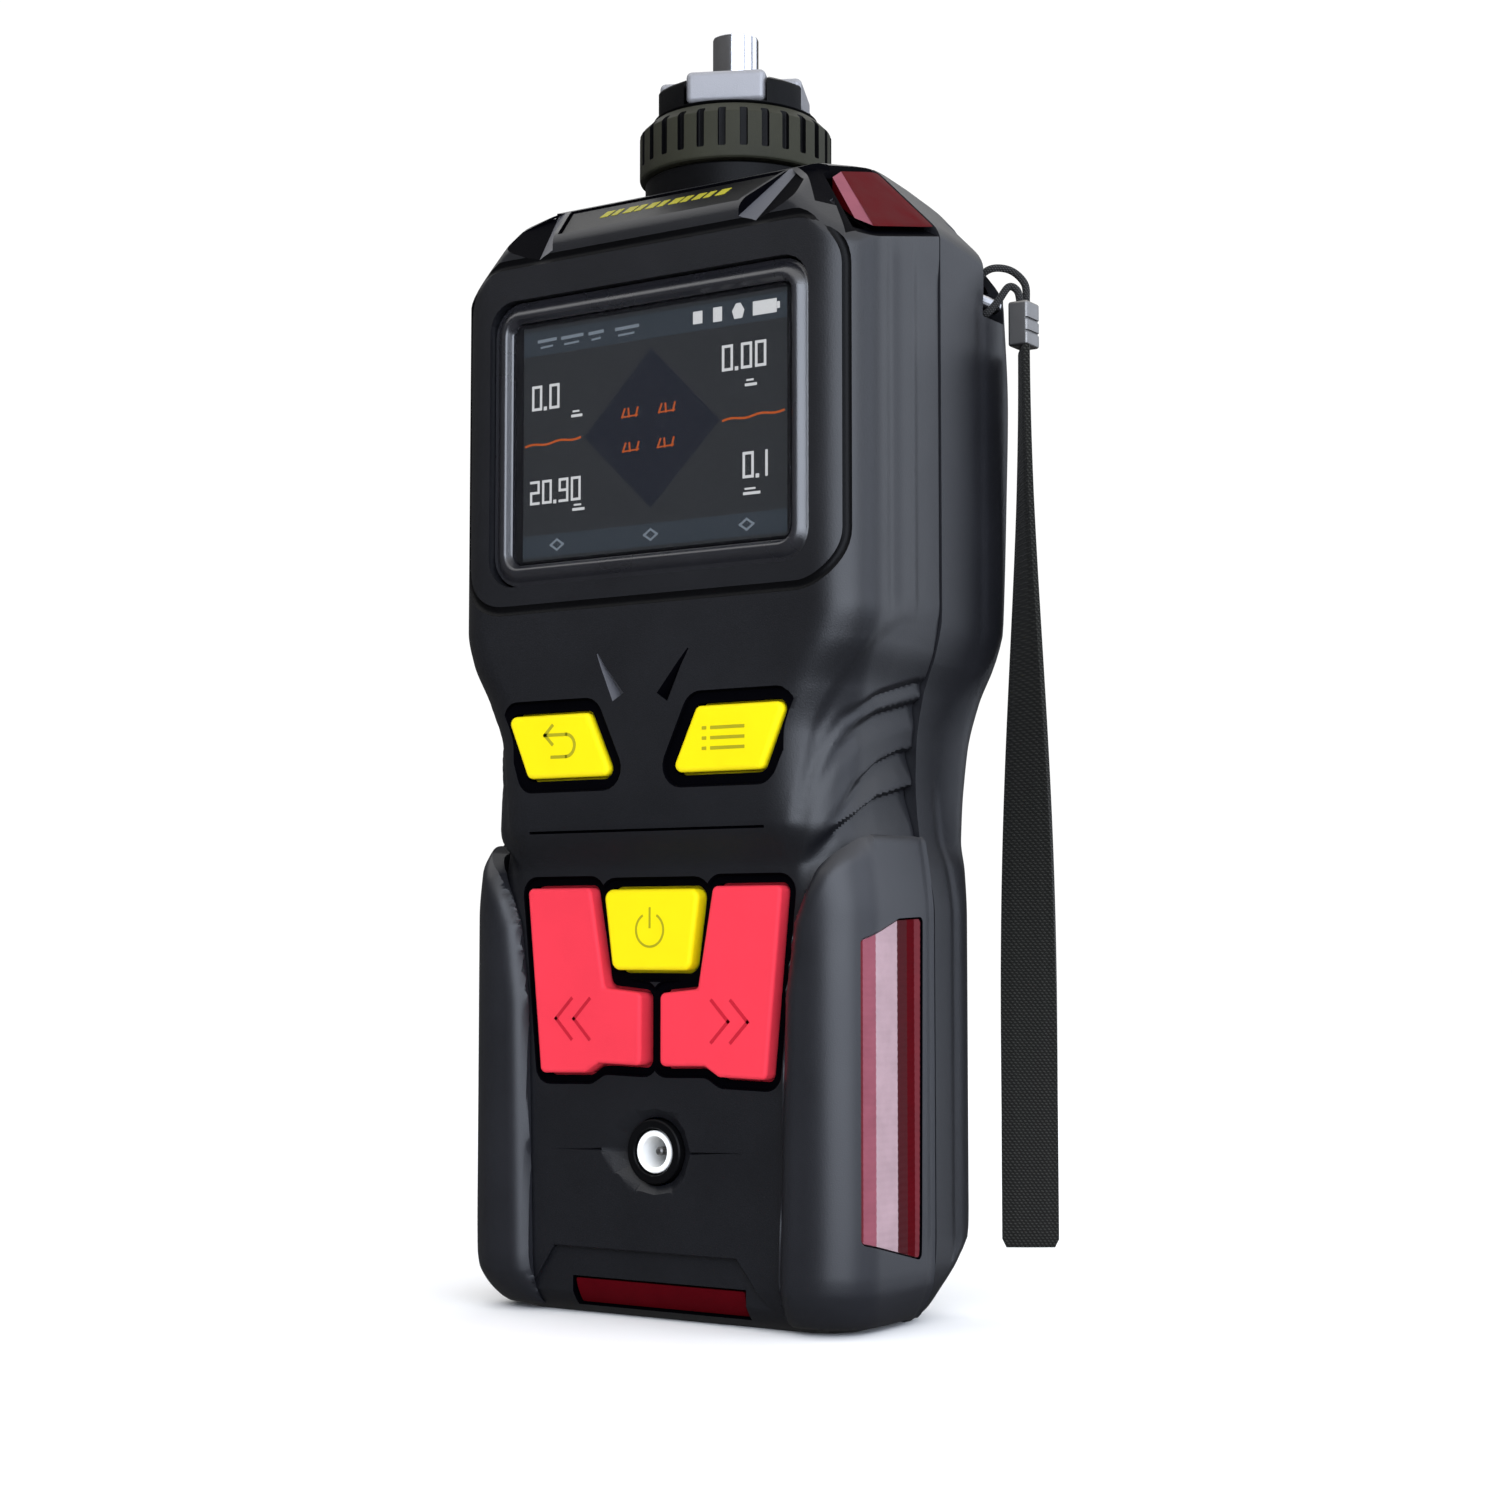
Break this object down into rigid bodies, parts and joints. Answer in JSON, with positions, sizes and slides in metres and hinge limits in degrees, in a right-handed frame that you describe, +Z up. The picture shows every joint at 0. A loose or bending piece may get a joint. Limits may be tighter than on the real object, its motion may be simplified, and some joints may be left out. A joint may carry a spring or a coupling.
{
  "type": "portable gas detector",
  "caption": "Hand-held gas detector with a display, push keys, alarm windows, a screw-on sampling inlet, a charging socket and a wrist strap.",
  "frame": {"origin": "in the flat base face, on the case's middle plane, 1 mm in front of the parting plane of the case", "axes": "+X to the right as the user faces the display, -Y out of the display, +Z up along the case towards the sampling inlet"},
  "size_m": [0.0833, 0.0532, 0.2006],
  "materials": {
    "case_plastic": "fine moulded texture, dark blue-grey",
    "grip_rubber": "satin overmoulded rubber",
    "black_plastic": "satin black",
    "seal_rubber": "matte",
    "yellow_key": "satin silicone",
    "red_key": "satin silicone",
    "red_lens": "clear-tinted, ribbed inside",
    "clear_window": "polished",
    "display_module": "lit colour display",
    "circuit_board": "solder mask",
    "battery_wrap": "shrink film",
    "steel": "plated",
    "satin_metal": "satin",
    "chrome": "polished",
    "ring_plastic": "ribbed, olive grey",
    "filter_felt": "porous",
    "silicone_tube": "translucent white",
    "strap_webbing": "woven"
  },
  "bodies": {
    "housing": {"front_shell": "case_plastic", "rear_shell": "case_plastic", "shell_gasket": "seal_rubber", "grip_pad_left": "grip_rubber", "grip_pad_right": "grip_rubber", "top_label": "black_plastic", "display_bezel": "case_plastic", "display_window": "clear_window", "lcd_module": "display_module", "main_board": "circuit_board", "keypad_board": "circuit_board", "upper_keypad_mat": "seal_rubber", "lower_keypad_mat": "seal_rubber", "charge_port": "black_plastic", "charge_sleeve": "satin_metal", "charge_pin": "steel", "battery_pack": "battery_wrap", "alarm_lens_top_left": "red_lens", "alarm_lens_top_right": "red_lens", "alarm_lens_side_left": "red_lens", "alarm_lens_side_right": "red_lens", "alarm_lens_bottom": "red_lens", "led_board_left": "circuit_board", "led_board_right": "circuit_board", "inlet_neck": "black_plastic", "inlet_o_ring": "seal_rubber", "filter_disc": "filter_felt", "inlet_tube": "silicone_tube", "sensor_manifold": "black_plastic", "gas_sensor_1": "satin_metal", "gas_sensor_2": "satin_metal", "gas_sensor_3": "satin_metal", "gas_sensor_4": "satin_metal", "pump_motor": "steel", "pump_head": "black_plastic", "exhaust_port": "black_plastic", "buzzer": "black_plastic", "vibration_motor": "steel", "lanyard_pin": "steel", "case_screw_1": "steel", "case_screw_2": "steel", "case_screw_3": "steel", "case_screw_4": "steel", "case_screw_5": "steel", "case_screw_6": "steel"},
    "back_key": {"key_back": "yellow_key"},
    "menu_key": {"key_menu": "yellow_key"},
    "power_key": {"key_power": "yellow_key"},
    "previous_key": {"key_previous": "red_key"},
    "next_key": {"key_next": "red_key"},
    "inlet_cap": {"filter_cap": "black_plastic", "filter_collar": "satin_metal", "nozzle": "chrome"},
    "inlet_ring": {"locking_ring": "ring_plastic"},
    "pump_rotor": {"pump_eccentric": "satin_metal"},
    "vibration_rotor": {"vibration_weight": "steel"},
    "strap": {"lanyard_cord": "strap_webbing", "lanyard_clamp": "satin_metal", "wrist_strap": "strap_webbing"}
  },
  "joints": [
    {"name": "back_key_press", "type": "slide", "parent": "housing", "child": "back_key", "axis": [0, 1, 0], "range_m": [0, 0.0008], "stiffness_N_per_m": 1500},
    {"name": "menu_key_press", "type": "slide", "parent": "housing", "child": "menu_key", "axis": [0, 1, 0], "range_m": [0, 0.0008], "stiffness_N_per_m": 1500},
    {"name": "power_key_press", "type": "slide", "parent": "housing", "child": "power_key", "axis": [0, 1, 0], "range_m": [0, 0.0008], "stiffness_N_per_m": 1500},
    {"name": "previous_key_press", "type": "slide", "parent": "housing", "child": "previous_key", "axis": [0, 1, 0], "range_m": [0, 0.0008], "stiffness_N_per_m": 1500},
    {"name": "next_key_press", "type": "slide", "parent": "housing", "child": "next_key", "axis": [0, 1, 0], "range_m": [0, 0.0008], "stiffness_N_per_m": 1500},
    {"name": "cap_lift", "type": "slide", "parent": "housing", "child": "inlet_cap", "axis": [0, 0, 1], "range_m": [0, 0.0031]},
    {"name": "ring_turn", "type": "hinge", "parent": "inlet_cap", "child": "inlet_ring", "pos_m": [0, 0.0015, 0.18], "axis": [0, 0, 1], "range_deg": [0, 540]},
    {"name": "pump_spin", "type": "hinge", "parent": "housing", "child": "pump_rotor", "pos_m": [0.0134, 0.01, 0.15], "axis": [1, 0, 0], "continuous": true},
    {"name": "vibration_spin", "type": "hinge", "parent": "housing", "child": "vibration_rotor", "pos_m": [-0.0084, 0.008, 0.084], "axis": [1, 0, 0], "continuous": true},
    {"name": "strap_swing", "type": "hinge", "parent": "housing", "child": "strap", "pos_m": [0.0356, 0.018, 0.1565], "axis": [0, -1, 0], "range_deg": [0, 75]}
  ],
  "couplings": [
    {"joint": "cap_lift", "follows": "ring_turn", "m_per_rad": 0.00031831}
  ]
}
